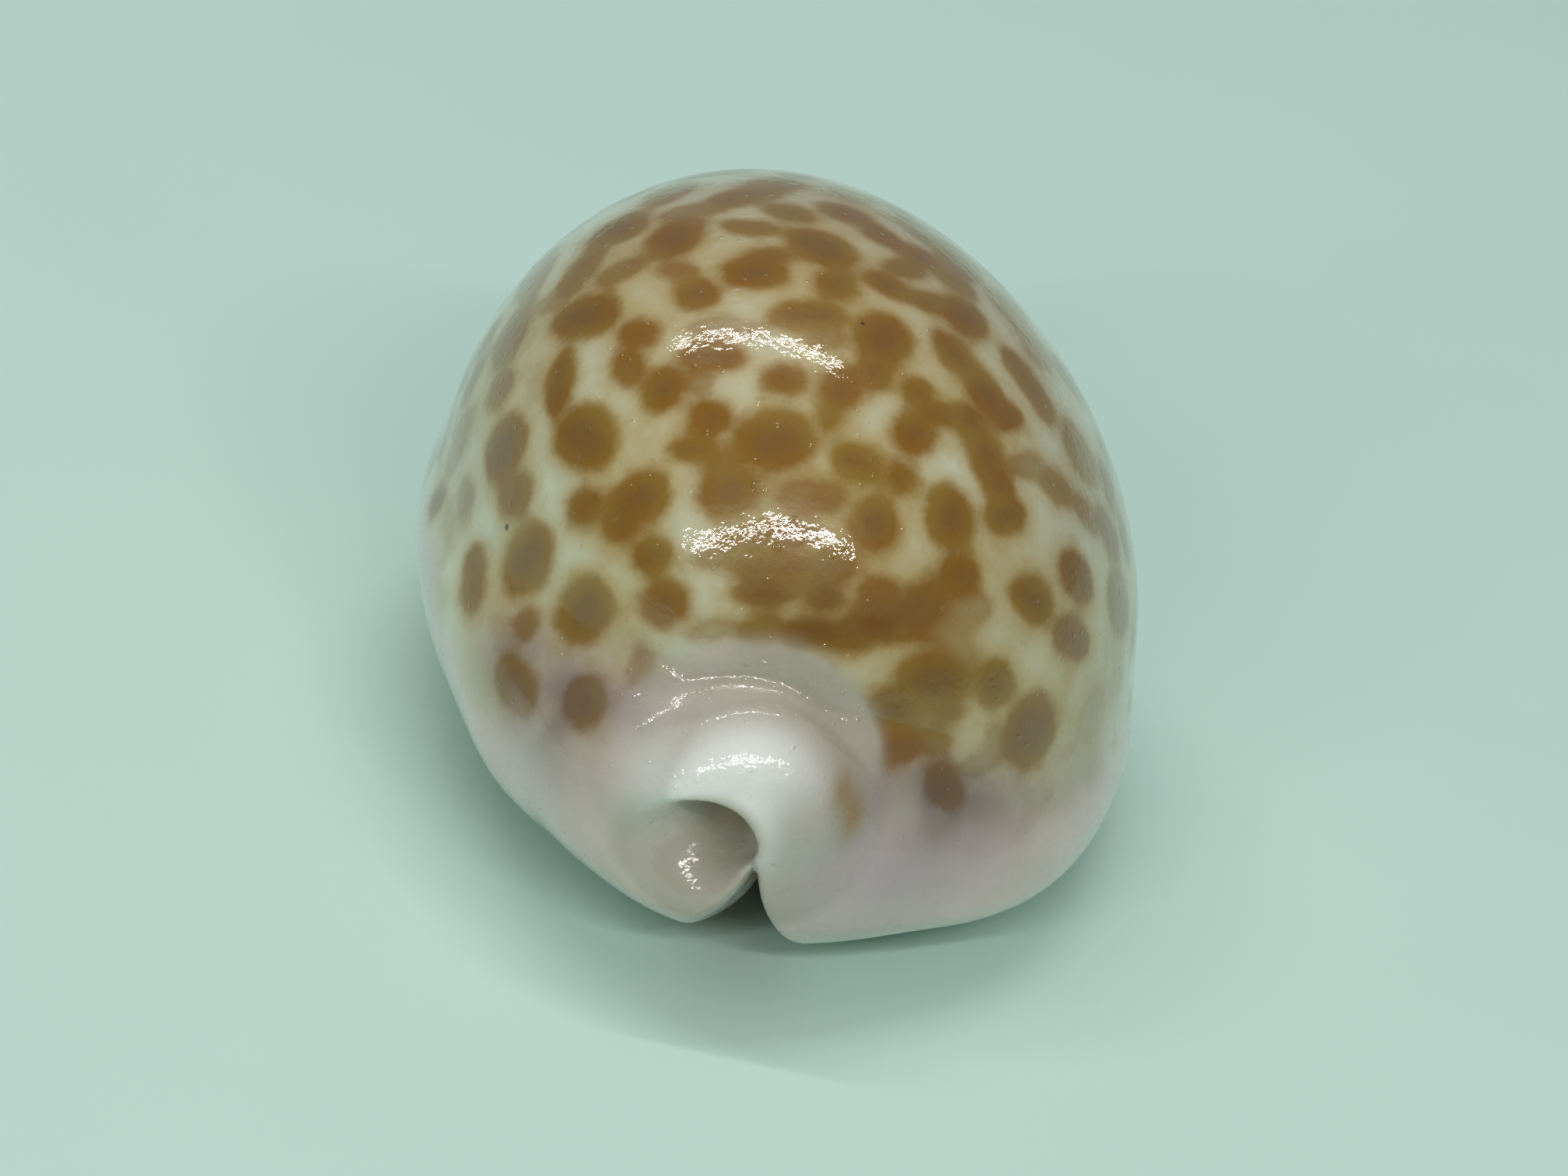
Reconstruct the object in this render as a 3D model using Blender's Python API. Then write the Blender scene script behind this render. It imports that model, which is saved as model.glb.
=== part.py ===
"""Cowrie shell: one hollow solid, lying on its toothed base.

+Z is up (the dorsum), -Y is the spire (posterior) end, +X is the side of the
outer lip.  The origin is the middle of the base, on the resting plane.
Sizes below are millimetres; the objects are made in metres.
"""
import math

import bmesh
import bpy
from mathutils import Vector

MM = 0.001

# ---- driving sizes of the outer form
HALF_WIDTH = 14.8        # half width of the domed back
HALF_BACK = 17.4         # spire-end half length of the dome
HALF_FRONT = 19.3        # front half length of the dome
Z_WIDE = 8.1             # height of the widest line
DOME_RISE = 16.4         # dome height above the widest line
WIDE_TILT = 0.127        # the widest line is lower on the outer-lip side
BASE_DROP = 8.30         # depth of the base below the widest line
BASE_TILT = 0.107        # and how that depth changes across the width
LEAN_X, LEAN_Y = 0.8, 1.9    # the dome leans over by this much at its top

MARGIN_WIDTH = 14.6      # callus plate that forms the margins and the ends
MARGIN_LENGTH = 19.3
MARGIN_RISE = 6.25
MARGIN_DROP = 6.10
MARGIN_Z = 5.9
MARGIN_TILT = 0.147
MARGIN_DROP_TILT = 0.127

SPIRE_CALLUS = ((-1.2, -15.0, 6.8), (6.8, 5.1, 5.5))     # centre, radii
FRONT_CALLUS = ((0.0, 16.1, 6.1), (6.6, 4.1, 4.5))
LEFT_LOBE = ((-4.0, -17.6, 5.3), (3.4, 3.0, 1.9))
FOLD_X, FOLD_Z, FOLD_Y = -2.7, 7.7, -15.9    # rounded fold over the spire canal
FOLD_RING, FOLD_RADIUS, FOLD_SLOPE = 3.9, 1.35, 0.25

# ---- hollow
WALL_SIDE = 2.0
WALL_BACK = 2.9
WALL_FRONT = 3.1
WALL_TOP = 1.9
CAVITY_DROP = 4.0

# ---- aperture: y station, inner-lip x, outer-lip x
APERTURE = (
    (-24.0, -1.55, -1.05), (-20.0, -1.55, -1.05), (-17.5, -1.70, -0.60),
    (-15.6, -2.10, 0.35), (-13.6, -1.80, 1.10), (-11.2, -1.00, 2.10),
    (-8.5, -0.20, 3.20), (-5.5, 0.60, 4.20), (-2.5, 1.10, 4.80),
    (1.5, 1.35, 5.15), (6.0, 1.20, 5.00), (10.0, 0.70, 4.40),
    (13.5, 0.10, 3.70), (16.5, -0.60, 2.90), (18.5, -1.10, 2.20),
    (24.0, -1.90, 1.40),
)
INNER_LIP_RADIUS = 1.7
OUTER_LIP_RADIUS = 0.5
TOOTH_PITCH = 2.05
TOOTH_DEPTH = 0.75
TOOTH_FIRST, TOOTH_LAST = -14.5, 15.7
ROOF = 8.8

# ---- the two canals, each a run of (x, y, z, radius)
SPIRE_CANAL = ((0.2, -11.5, 6.4, 1.6), (-1.3, -15.2, 6.2, 1.5),
               (-2.8, -18.2, 6.9, 1.45), (-3.4, -20.4, 7.9, 1.6),
               (-4.4, -24.0, 10.0, 2.6))
FRONT_CANAL = ((0.7, 10.5, 5.9, 1.6), (0.4, 13.8, 5.1, 1.55),
               (0.0, 17.0, 4.4, 1.5), (-0.3, 20.0, 4.9, 1.8),
               (-0.5, 24.0, 5.8, 2.2))

# ---- mesh densities
OUTER_SEGMENTS, OUTER_RINGS = 60, 44
CAVITY_SEGMENTS, CAVITY_RINGS = 32, 22
STATIONS_PER_TOOTH = 4


def clamp(v, lo, hi):
    return max(lo, min(hi, v))


def smooth_step(a, b, v):
    t = clamp((v - a) / (b - a), 0.0, 1.0)
    return t * t * (3.0 - 2.0 * t)


def smooth_union(a, b, k):
    h = max(k - abs(a - b), 0.0) / k
    return min(a, b) - h * h * k * 0.25


def table(rows, column, y):
    """Smooth curve (cubic Hermite) through one column of a table."""
    n = len(rows)
    i = 0
    while i < n - 2 and y > rows[i + 1][0]:
        i += 1

    def slope(j):
        lo, hi = max(j - 1, 0), min(j + 1, n - 1)
        return (rows[hi][column] - rows[lo][column]) / (rows[hi][0] - rows[lo][0])

    h = rows[i + 1][0] - rows[i][0]
    t = clamp((y - rows[i][0]) / h, 0.0, 1.0)
    t2, t3 = t * t, t * t * t
    return ((2 * t3 - 3 * t2 + 1) * rows[i][column] + (t3 - 2 * t2 + t) * h * slope(i)
            + (-2 * t3 + 3 * t2) * rows[i + 1][column] + (t3 - t2) * h * slope(i + 1))


def ellipsoid(p, centre, radii):
    q = math.sqrt(sum(((p[i] - centre[i]) / radii[i]) ** 2 for i in range(3)))
    return (q - 1.0) * min(radii)


def lean(p):
    up = max(p[2] - Z_WIDE, 0.0) / DOME_RISE
    xe, ye = p[0] + LEAN_X * up ** 1.5, p[1] + LEAN_Y * up ** 1.5
    taper = 1.0 - 0.13 * smooth_step(0.0, HALF_FRONT, ye) * clamp(ye / HALF_FRONT, 0.0, 1.2)
    return xe, ye, taper


def dome(p):
    xe, ye, taper = lean(p)
    rx = xe / (HALF_WIDTH * taper)
    ry = ye / (HALF_BACK if ye < 0 else HALF_FRONT)
    dz = p[2] - (Z_WIDE - WIDE_TILT * p[0])
    up = (dz / DOME_RISE) ** 2 if dz > 0 else abs(dz / (BASE_DROP - BASE_TILT * p[0])) ** 2.35
    return (math.sqrt(rx * rx + ry * ry + up) - 1.0) * 11.0


def margin(p):
    n = 2.25 if p[1] < 0 else 2.1
    z = p[2] - (MARGIN_Z - MARGIN_TILT * p[0])
    z /= MARGIN_RISE if z > 0 else MARGIN_DROP - MARGIN_DROP_TILT * p[0]
    e = abs(p[0] / MARGIN_WIDTH) ** n + abs(p[1] / MARGIN_LENGTH) ** n
    return ((e + abs(z) ** n) ** (1.0 / n) - 1.0) * 8.5


def fold(p):
    """Upper part of a ring around the spire canal."""
    ring = math.hypot(p[0] - FOLD_X, p[2] - FOLD_Z) - FOLD_RING
    f = math.hypot(ring, p[1] - FOLD_Y + FOLD_SLOPE * (p[2] - 8.0)) - FOLD_RADIUS
    return f + 2.5 * (1.0 - smooth_step(6.0, 10.0, p[2]))


def outer_form(p):
    f = smooth_union(dome(p), margin(p), 1.6)
    f = smooth_union(f, ellipsoid(p, *SPIRE_CALLUS), 2.4)
    f = smooth_union(f, fold(p), 3.0)
    f = smooth_union(f, ellipsoid(p, *LEFT_LOBE), 1.5)
    return smooth_union(f, ellipsoid(p, *FRONT_CALLUS), 2.0)


def hollow_form(p):
    xe, ye, taper = lean(p)
    rx = xe / ((HALF_WIDTH - WALL_SIDE) * taper)
    ry = ye / ((HALF_BACK - WALL_BACK) if ye < 0 else (HALF_FRONT - WALL_FRONT))
    dz = p[2] - (Z_WIDE - WIDE_TILT * p[0])
    rz = (dz / (DOME_RISE - WALL_TOP)) ** 2 if dz > 0 else abs(dz / CAVITY_DROP) ** 2.2
    return (math.sqrt(rx * rx + ry * ry + rz) - 1.0) * 9.0


def root(form, start, direction, reach):
    """Distance along direction from a point inside the form to its surface."""
    lo, hi = 0.0, reach
    for _ in range(40):
        mid = 0.5 * (lo + hi)
        inside = form(tuple(start[i] + direction[i] * mid for i in range(3))) < 0
        lo, hi = (mid, hi) if inside else (lo, mid)
    return 0.5 * (lo + hi)


def base_height(x, y):
    """Height of the outer form's underside above the resting plane."""
    if outer_form((x, y, 5.5)) >= 0:
        return 4.0
    return max(0.0, 5.5 - root(outer_form, (x, y, 5.5), (0, 0, -1), 9.0))


def material(name, colour, roughness):
    m = bpy.data.materials.new(name)
    m.use_nodes = True
    shader = m.node_tree.nodes["Principled BSDF"]
    shader.inputs["Base Color"].default_value = (*colour, 1.0)
    shader.inputs["Roughness"].default_value = roughness
    shader.inputs["Metallic"].default_value = 0.0
    m.diffuse_color = (*colour, 1.0)
    return m


def add_object(name, bm, mat):
    bm.normal_update()
    bmesh.ops.recalc_face_normals(bm, faces=bm.faces)
    if bm.calc_volume(signed=True) < 0:
        bmesh.ops.reverse_faces(bm, faces=bm.faces)
    mesh = bpy.data.meshes.new(name)
    bm.to_mesh(mesh)
    bm.free()
    mesh.shade_smooth()
    obj = bpy.data.objects.new(name, mesh)
    bpy.context.collection.objects.link(obj)
    mesh.materials.append(mat)
    return obj


def blown_sphere(form, centre, segments, rings, floor=None):
    """A UV sphere with its poles along Y, pushed out onto a form."""
    bm = bmesh.new()
    bmesh.ops.create_uvsphere(bm, u_segments=segments, v_segments=rings, radius=1.0)
    for v in bm.verts:
        # long axis to Y; stretch first, so the rings spread along the length
        d = Vector((v.co.x * 15.0, v.co.z * 20.0, -v.co.y * 12.0)).normalized()
        r = root(form, centre, d, 40.0)
        p = Vector(centre) + d * r
        if floor is not None:
            p.z = max(p.z, floor)
        v.co = p * MM
    return bm


def loft(rings):
    """A closed solid through rings of points, capped at both ends."""
    bm = bmesh.new()
    loops = [[bm.verts.new(Vector(p) * MM) for p in ring] for ring in rings]
    n = len(rings[0])
    for a, b in zip(loops, loops[1:]):
        for i in range(n):
            j = (i + 1) % n
            bm.faces.new((a[i], a[j], b[j], b[i]))
    bm.faces.new(loops[0])
    bm.faces.new(reversed(loops[-1]))
    bmesh.ops.triangulate(bm, faces=[f for f in bm.faces if len(f.verts) > 4])
    return bm


def aperture_ring(y):
    """One section of the aperture: rounded lips below, round roof above."""
    left, right = table(APERTURE, 1, y), table(APERTURE, 2, y)
    zb = base_height(0.5 * (left + right), y)
    toothed = smooth_step(TOOTH_FIRST - 1.5, TOOTH_FIRST + 1.5, y) * (
        1.0 - smooth_step(TOOTH_LAST - 1.2, TOOTH_LAST + 1.3, y))
    wave = (0.5 + 0.5 * math.cos(2 * math.pi * y / TOOTH_PITCH)) ** 1.3
    tooth = TOOTH_DEPTH * toothed * wave
    spire_end = smooth_step(-15.0, -19.0, y)
    roof = ROOF - 1.1 * smooth_step(-12.6, -17.0, y) - 2.6 * smooth_step(11.0, 16.0, y)
    wide = INNER_LIP_RADIUS

    def lip(edge, radius, z, sign):
        h = clamp(z - zb, 0.0, radius)
        return edge + sign * radius * (1.0 - math.sqrt(max(0.0, 1.0 - ((radius - h) / radius) ** 2)))

    levels_l = [zb, zb + 0.10 * wide, zb + 0.32 * wide, zb + 0.62 * wide, zb + wide]
    ring = [(lip(left, wide, z, -1.0), y, z) for z in levels_l]
    ring[0] = (left - wide, y, -2.0)
    top = max(roof, zb + wide + 1.4)
    half = 0.5 * (right - left)
    round_top = min(half, 0.9)
    ring += [(left, y, top - round_top), (left + 0.45 * round_top, y, top - 0.2 * round_top)]
    ring += [(right - 0.45 * round_top, y, top - 0.2 * round_top), (right, y, top - round_top)]
    edge = right - tooth
    high = min(zb + 3.9, top - round_top - 0.3)
    low = min(zb + 2.7, high - 0.4)
    rr = OUTER_LIP_RADIUS + 1.1 * spire_end
    ring += [(right, y, high), (edge, y, low), (edge, y, zb + rr),
             (lip(edge, rr, zb + 0.3 * rr, 1.0), y, zb + 0.3 * rr),
             (edge + rr, y, -2.0)]
    return ring


def tube(run, sides=14, per_span=3):
    """A round cutter of changing radius along a smooth curve."""
    pts = []
    n = len(run)
    for i in range(n - 1):
        for k in range(per_span):
            t = k / per_span
            out = []
            for c in range(4):
                p0, p1, p2, p3 = (run[max(i - 1, 0)][c], run[i][c], run[i + 1][c],
                                  run[min(i + 2, n - 1)][c])
                out.append(0.5 * (2 * p1 + (p2 - p0) * t + (2 * p0 - 5 * p1 + 4 * p2 - p3) * t * t
                                  + (3 * p1 - p0 - 3 * p2 + p3) * t ** 3))
            pts.append(out)
    pts.append(list(run[-1]))
    rings = []
    for i, (x, y, z, r) in enumerate(pts):
        a, b = pts[max(i - 1, 0)], pts[min(i + 1, len(pts) - 1)]
        along = (Vector(b[:3]) - Vector(a[:3])).normalized()
        side = along.cross(Vector((0, 0, 1))).normalized()
        up = side.cross(along)
        rings.append([tuple(Vector((x, y, z)) + side * r * math.cos(2 * math.pi * s / sides)
                            + up * r * math.sin(2 * math.pi * s / sides)) for s in range(sides)])
    return rings


def cut(body, cutter):
    cutter.hide_render = True
    cutter.display_type = 'WIRE'
    mod = body.modifiers.new("cut_" + cutter.name, 'BOOLEAN')
    mod.operation = 'DIFFERENCE'
    mod.solver = 'EXACT'
    mod.object = cutter


def main():
    for obj in list(bpy.data.objects):
        bpy.data.objects.remove(obj, do_unlink=True)

    glaze = material("glazed_shell", (0.80, 0.74, 0.66), 0.16)
    guide = material("cutter_guide", (0.5, 0.5, 0.5), 0.5)

    shell = add_object("shell", blown_sphere(outer_form, (0.0, -0.5, 8.0),
                                             OUTER_SEGMENTS, OUTER_RINGS, floor=0.0), glaze)

    hollow = add_object("cutter_hollow", blown_sphere(hollow_form, (0.0, 0.3, 9.5),
                                                      CAVITY_SEGMENTS, CAVITY_RINGS), guide)
    cut(shell, hollow)

    step = TOOTH_PITCH / STATIONS_PER_TOOTH
    first = -24.0
    ys = []
    y = first
    while y < 23.9:
        ys.append(y)
        y += step if TOOTH_FIRST - 1.0 < y < TOOTH_LAST + 1.0 else 1.0
    ys.append(24.0)
    aperture = add_object("cutter_aperture", loft([aperture_ring(v) for v in ys]), guide)
    cut(shell, aperture)

    cut(shell, add_object("cutter_spire_canal", loft(tube(SPIRE_CANAL)), guide))
    cut(shell, add_object("cutter_front_canal", loft(tube(FRONT_CANAL)), guide))

    shell.data.set_sharp_from_angle(angle=math.radians(40.0))


main()
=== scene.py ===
"""Cowrie shell, the looks: the grown surface as one fine mesh, its glaze, the floor, the lights and the camera.

Everything is worked out in millimetres in the shell's own frame (+Z up through the back, -Y the spire end, +X the
toothed outer lip) and turned into metres when the mesh is made.
"""
import math

import bpy
import numpy as np
from mathutils import Matrix, Vector


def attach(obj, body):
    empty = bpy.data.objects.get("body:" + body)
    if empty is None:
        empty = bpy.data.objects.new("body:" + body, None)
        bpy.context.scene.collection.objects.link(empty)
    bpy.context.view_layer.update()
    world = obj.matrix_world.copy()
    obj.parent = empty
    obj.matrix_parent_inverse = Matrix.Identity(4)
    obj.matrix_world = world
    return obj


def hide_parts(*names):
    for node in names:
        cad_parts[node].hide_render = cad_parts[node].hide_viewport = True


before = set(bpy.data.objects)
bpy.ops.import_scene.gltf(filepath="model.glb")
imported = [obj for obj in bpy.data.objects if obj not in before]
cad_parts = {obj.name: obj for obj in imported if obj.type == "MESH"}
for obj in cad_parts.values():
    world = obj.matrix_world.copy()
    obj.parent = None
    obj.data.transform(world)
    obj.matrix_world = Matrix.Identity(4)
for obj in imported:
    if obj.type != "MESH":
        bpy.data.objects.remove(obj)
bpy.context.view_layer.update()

# ------------------------------------------------------------------ sizes, mm
HALF_WIDTH = 14.8
HALF_BACK, HALF_FRONT = 17.4, 19.3
Z_WIDE = 8.1                      # height of the widest line
DOME_RISE = 16.4
WALL_SIDE, WALL_BACK, WALL_FRONT, WALL_TOP = 2.0, 2.9, 3.1, 1.9
TOOTH_PITCH, TOOTH_DEPTH = 2.05, 0.75

# the two lips of the opening: y, inner (plain) lip x, outer (toothed) lip x
LIPS = np.array((
    (-24.0, -1.72, -1.66), (-21.0, -1.70, -1.64), (-19.6, -1.2, -1.04), (-17.5, -0.6, -0.1), (-15.6, -1.0, 0.45), (-13.6, -1.5, 1.2),
    (-11.2, -1.0, 2.1), (-8.5, -0.2, 3.2), (-5.5, 0.6, 4.2), (-2.5, 1.1, 4.8), (1.5, 1.35, 5.15),
    (6.0, 1.2, 5.0), (10.0, 0.7, 4.4), (13.5, 0.1, 3.7), (16.5, -0.6, 2.9), (18.5, -1.1, 2.2), (23.0, -1.8, 1.5)))

# canals at the two ends: runs of (start, end, start radius, end radius)
SPIRE_CANAL = (((0.6, -11.5, 6.8), (0.4, -15.6, 7.6), 1.6, 0.8), ((0.4, -15.6, 7.6), (-1.2, -17.9, 8.3), 0.8, 0.6),
               ((-1.2, -17.9, 8.3), (-2.3, -19.1, 8.0), 0.6, 1.2), ((-2.3, -19.1, 8.0), (-3.35, -20.3, 7.7), 1.2, 1.6),
               ((-3.35, -20.3, 7.7), (-6.3, -23.6, 5.8), 1.6, 3.1))
FRONT_CANAL = (((0.6, 11.5, 5.6), (0.0, 17.0, 4.4), 1.6, 1.5), ((0.0, 17.0, 4.4), (-0.4, 22.0, 5.2), 1.5, 2.0))


# ------------------------------------------------------------------ shaping helpers
def smin(a, b, k):
    h = np.maximum(k - np.abs(a - b), 0) / k
    return np.minimum(a, b) - h * h * k * 0.25


def smax(a, b, k):
    h = np.maximum(k - np.abs(a - b), 0) / k
    return np.maximum(a, b) + h * h * k * 0.25


def sstep(a, b, x):
    t = np.clip((x - a) / (b - a), 0, 1)
    return t * t * (3 - 2 * t)


def smooth_line(xs, ys, x):
    m = np.gradient(ys, xs)
    i = np.clip(np.searchsorted(xs, x) - 1, 0, len(xs) - 2)
    h = xs[i + 1] - xs[i]
    t = np.clip((x - xs[i]) / h, 0, 1)
    t2, t3 = t * t, t * t * t
    return ((2 * t3 - 3 * t2 + 1) * ys[i] + (t3 - 2 * t2 + t) * h * m[i]
            + (-2 * t3 + 3 * t2) * ys[i + 1] + (t3 - t2) * h * m[i + 1])


def ellipsoid(x, y, z, c, r):
    q = np.sqrt(((x - c[0]) / r[0]) ** 2 + ((y - c[1]) / r[1]) ** 2 + ((z - c[2]) / r[2]) ** 2)
    return (q - 1) * min(r)


def tube_run(x, y, z, runs):
    best = None
    for a, b, ra, rb in runs:
        a, b = np.array(a), np.array(b)
        d = b - a
        t = np.clip(((x - a[0]) * d[0] + (y - a[1]) * d[1] + (z - a[2]) * d[2]) / (d * d).sum(), 0, 1)
        q = np.sqrt((x - a[0] - t * d[0]) ** 2 + (y - a[1] - t * d[1]) ** 2 + (z - a[2] - t * d[2]) ** 2)
        q = q - (ra + (rb - ra) * t)
        best = q if best is None else smin(best, q, 0.8)
    return best


# ------------------------------------------------------------------ the shell as a field, negative inside the wall
def leaning(x, y, z):
    """Whorl coordinates: the back leans over towards the right and the spire."""
    up = np.maximum(z - Z_WIDE, 0) / DOME_RISE
    xe, ye = x + 0.8 * up ** 1.5, y + 1.9 * up ** 1.5
    taper = 1 - 0.13 * sstep(0, HALF_FRONT, ye) * np.clip(ye / HALF_FRONT, 0, 1.2)
    return xe, ye, z - (Z_WIDE - 0.127 * x), taper


def dome(x, y, z):
    xe, ye, dz, taper = leaning(x, y, z)
    b = np.where(ye < 0, HALF_BACK, HALF_FRONT)
    cz = np.where(dz > 0, DOME_RISE, 8.30 - 0.107 * x)
    q = (xe / (HALF_WIDTH * taper)) ** 2 + (ye / b) ** 2 + np.abs(dz / cz) ** np.where(dz > 0, 2.0, 2.35)
    return (np.sqrt(q) - 1) * 11.0


def margins(x, y, z):
    """The callused rim that runs round the base."""
    n = np.where(y < 0, 2.25 + 0.23 * sstep(-7.0, -13.0, y) * sstep(-1.0, -8.0, x), 2.1)
    e = (np.abs(x) / 14.6) ** n + (np.abs(y) / 19.3) ** n
    dz = z - (5.9 - 0.147 * x)
    e = (e + (np.abs(dz) / np.where(dz > 0, 6.25, 6.10 - 0.127 * x)) ** n) ** (1 / n)
    return (e - 1) * 8.5


def spire_fold(x, y, z):
    """The rounded white hood that arches over the spire canal."""
    arch = ((x + 1.9) / np.where(x < -1.9, 3.95, 3.4)) ** 2 + ((z - 9.2 - 0.12 * (y + 16.9)) / 3.65) ** 2
    q = (arch ** 1.5 + np.abs((y + 16.9) / 3.7) ** 3) ** (1 / 3)
    return (q - 1) * 3.5 + 2.0 * (1 - sstep(5.0, 9.0, z))


def outside(x, y, z):
    f = smin(dome(x, y, z), margins(x, y, z), 1.6)
    f = smin(f, ellipsoid(x, y, z, (-1.0, -15.0, 6.8), (6.2, 4.9, 5.5)), 2.4 - 1.7 * sstep(10.3, 12.6, z))
    f = smin(f, spire_fold(x, y, z), 2.2 - 1.8 * sstep(-18.8, -17.3, y) * sstep(8.8, 10.8, z))
    f = smin(f, ellipsoid(x, y, z, (-5.6, -15.6, 7.8), (3.4, 3.0, 3.0)), 2.4)
    f = smin(f, ellipsoid(x, y, z, (-3.4, -17.3, 5.3), (2.8, 2.7, 1.9)), 1.5)
    return smin(f, ellipsoid(x, y, z, (0.0, 16.1, 6.1), (6.6, 4.1, 4.5)), 2.0)


def chamber(x, y, z):
    xe, ye, dz, taper = leaning(x, y, z)
    b = np.where(ye < 0, HALF_BACK - WALL_BACK, HALF_FRONT - WALL_FRONT)
    cz = np.where(dz > 0, DOME_RISE - WALL_TOP, 4.0)
    q = (xe / ((HALF_WIDTH - WALL_SIDE) * taper)) ** 2 + (ye / b) ** 2 + np.abs(dz / cz) ** np.where(dz > 0, 2.0, 2.2)
    return (np.sqrt(q) - 1) * 9.0


def opening(x, y, z):
    """The long slit between the lips, with a tooth every TOOTH_PITCH on the outer lip."""
    left = smooth_line(LIPS[:, 0], LIPS[:, 1], y)
    right = smooth_line(LIPS[:, 0], LIPS[:, 2], y)
    toothed = sstep(-16.0, -13.0, y) * (1 - sstep(14.5, 17.0, y))
    wave = 0.5 + 0.5 * np.cos(2 * np.pi * y / TOOTH_PITCH)
    right = right - toothed * TOOTH_DEPTH * wave ** 1.3 * (1 - sstep(2.8, 4.6, z))
    vee = np.clip(6.9 - 0.55 * (y + 20.7) - z, 0, 3.2) * sstep(-13.0, -17.0, y)   # at the spire end the slit opens downwards
    left, right = left - 0.30 * vee - 0.045 * vee ** 3, right + 0.27 * vee + 0.01 * vee ** 3
    roof = 8.8 - 2.05 * sstep(-14.6, -18.0, y) - 2.6 * sstep(11.0, 16.0, y)
    dx = np.abs(x - (left + right) / 2) - (right - left) / 2
    return smax(dx * 0.93, z - roof, 1.6 - 1.2 * sstep(-15.0, -18.0, y)), left, right


def shell_field(p):
    x, y, z = p[..., 0], p[..., 1], p[..., 2]
    f = outside(x, y, z)
    f = smax(f, -chamber(x, y, z), 0.8)
    soft = sstep(1.4, -2.2, (x + 3.2) * 0.75 + (z - 7.2) * 0.65)         # the canal's edge is soft below and to the left
    f = smax(f, -tube_run(x, y, z, SPIRE_CANAL), 0.45 + 1.3 * soft)
    f = smax(f, -tube_run(x, y, z, FRONT_CANAL), 1.2)
    slit, left, right = opening(x, y, z)
    to_right = sstep(0, 1, (x - left) / (right - left + 1e-9))
    end = sstep(-15.0, -18.5, y)
    f = smax(f, -slit, (3.4 - 3.0 * end) * (1 - to_right) + (0.8 - 0.2 * end) * to_right)
    return np.maximum(f, -z)


# ------------------------------------------------------------------ surface nets on a graded grid
def graded(lo, hi, step):
    a = [lo]
    while a[-1] < hi:
        a.append(a[-1] + float(step(a[-1])))
    return np.array(a)


def surface(fn, xs, ys, zs):
    axes = (xs, ys, zs)
    f = np.empty((len(xs), len(ys), len(zs)), np.float32)
    yy, zz = np.meshgrid(ys, zs, indexing="ij")
    for i0 in range(0, len(xs), 40):
        part = xs[i0:i0 + 40]
        p = np.empty((len(part), len(ys), len(zs), 3))
        p[..., 0], p[..., 1], p[..., 2] = part[:, None, None], yy[None], zz[None]
        f[i0:i0 + 40] = fn(p)
    inside = f < 0
    nx, ny, nz = f.shape
    c = np.zeros((nx - 1, ny - 1, nz - 1), np.int8)
    corners = [(a, b, d) for a in (0, 1) for b in (0, 1) for d in (0, 1)]
    for a, b, d in corners:
        c += inside[a:nx - 1 + a, b:ny - 1 + b, d:nz - 1 + d]
    active = (c > 0) & (c < 8)
    index = -np.ones(active.shape, np.int64)
    ids = np.argwhere(active)
    index[active] = np.arange(len(ids))
    total, count = np.zeros((len(ids), 3)), np.zeros(len(ids))
    i, j, k = ids.T
    for p in corners:
        for ax in range(3):
            if p[ax]:
                continue
            q = list(p)
            q[ax] = 1
            f0 = f[i + p[0], j + p[1], k + p[2]].astype(float)
            f1 = f[i + q[0], j + q[1], k + q[2]].astype(float)
            m = (f0 < 0) != (f1 < 0)
            at = np.array(p, float)[None].repeat(len(ids), 0)
            at[:, ax] = np.where(m, f0 / np.where(m, f0 - f1, 1), 0)
            total[m] += at[m]
            count[m] += 1
    cell = ids + total / count[:, None]
    v = np.stack([np.interp(cell[:, a], np.arange(len(axes[a])), axes[a]) for a in range(3)], 1)
    quads = []
    for ax in range(3):
        s0, s1 = [slice(None)] * 3, [slice(None)] * 3
        s0[ax], s1[ax] = slice(0, -1), slice(1, None)
        a, b = inside[tuple(s0)], inside[tuple(s1)]
        e = np.argwhere(a != b)
        other = [n for n in range(3) if n != ax]
        keep = np.ones(len(e), bool)
        for n in other:
            keep &= (e[:, n] > 0) & (e[:, n] < f.shape[n] - 1)
        e = e[keep]
        ins = a[tuple(e.T)]

        def at(d0, d1):
            q = e.copy()
            q[:, other[0]] -= d0
            q[:, other[1]] -= d1
            return index[tuple(q.T)]

        quad = np.stack([at(1, 1), at(0, 1), at(0, 0), at(1, 0)], 1)
        turn = ~(ins if ax != 1 else ~ins)
        quad[turn] = quad[turn][:, ::-1]
        quads.append(quad)
    return v, np.concatenate(quads)


def slope(fn, v, e=0.02):
    g = np.empty_like(v)
    for a in range(3):
        d = np.zeros(3)
        d[a] = e
        g[:, a] = (fn(v + d) - fn(v - d)) / (2 * e)
    return g


def unit(v):
    return v / np.maximum(np.linalg.norm(v, axis=-1, keepdims=True), 1e-9)


def onto(fn, v, n, most=0.2):
    for _ in range(n):
        g = slope(fn, v)
        s = (fn(v) / np.maximum((g ** 2).sum(1), 1e-6))[:, None] * g
        v = v - s * np.minimum(1, most / np.maximum(np.linalg.norm(s, axis=1, keepdims=True), 1e-9))
    return v


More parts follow.
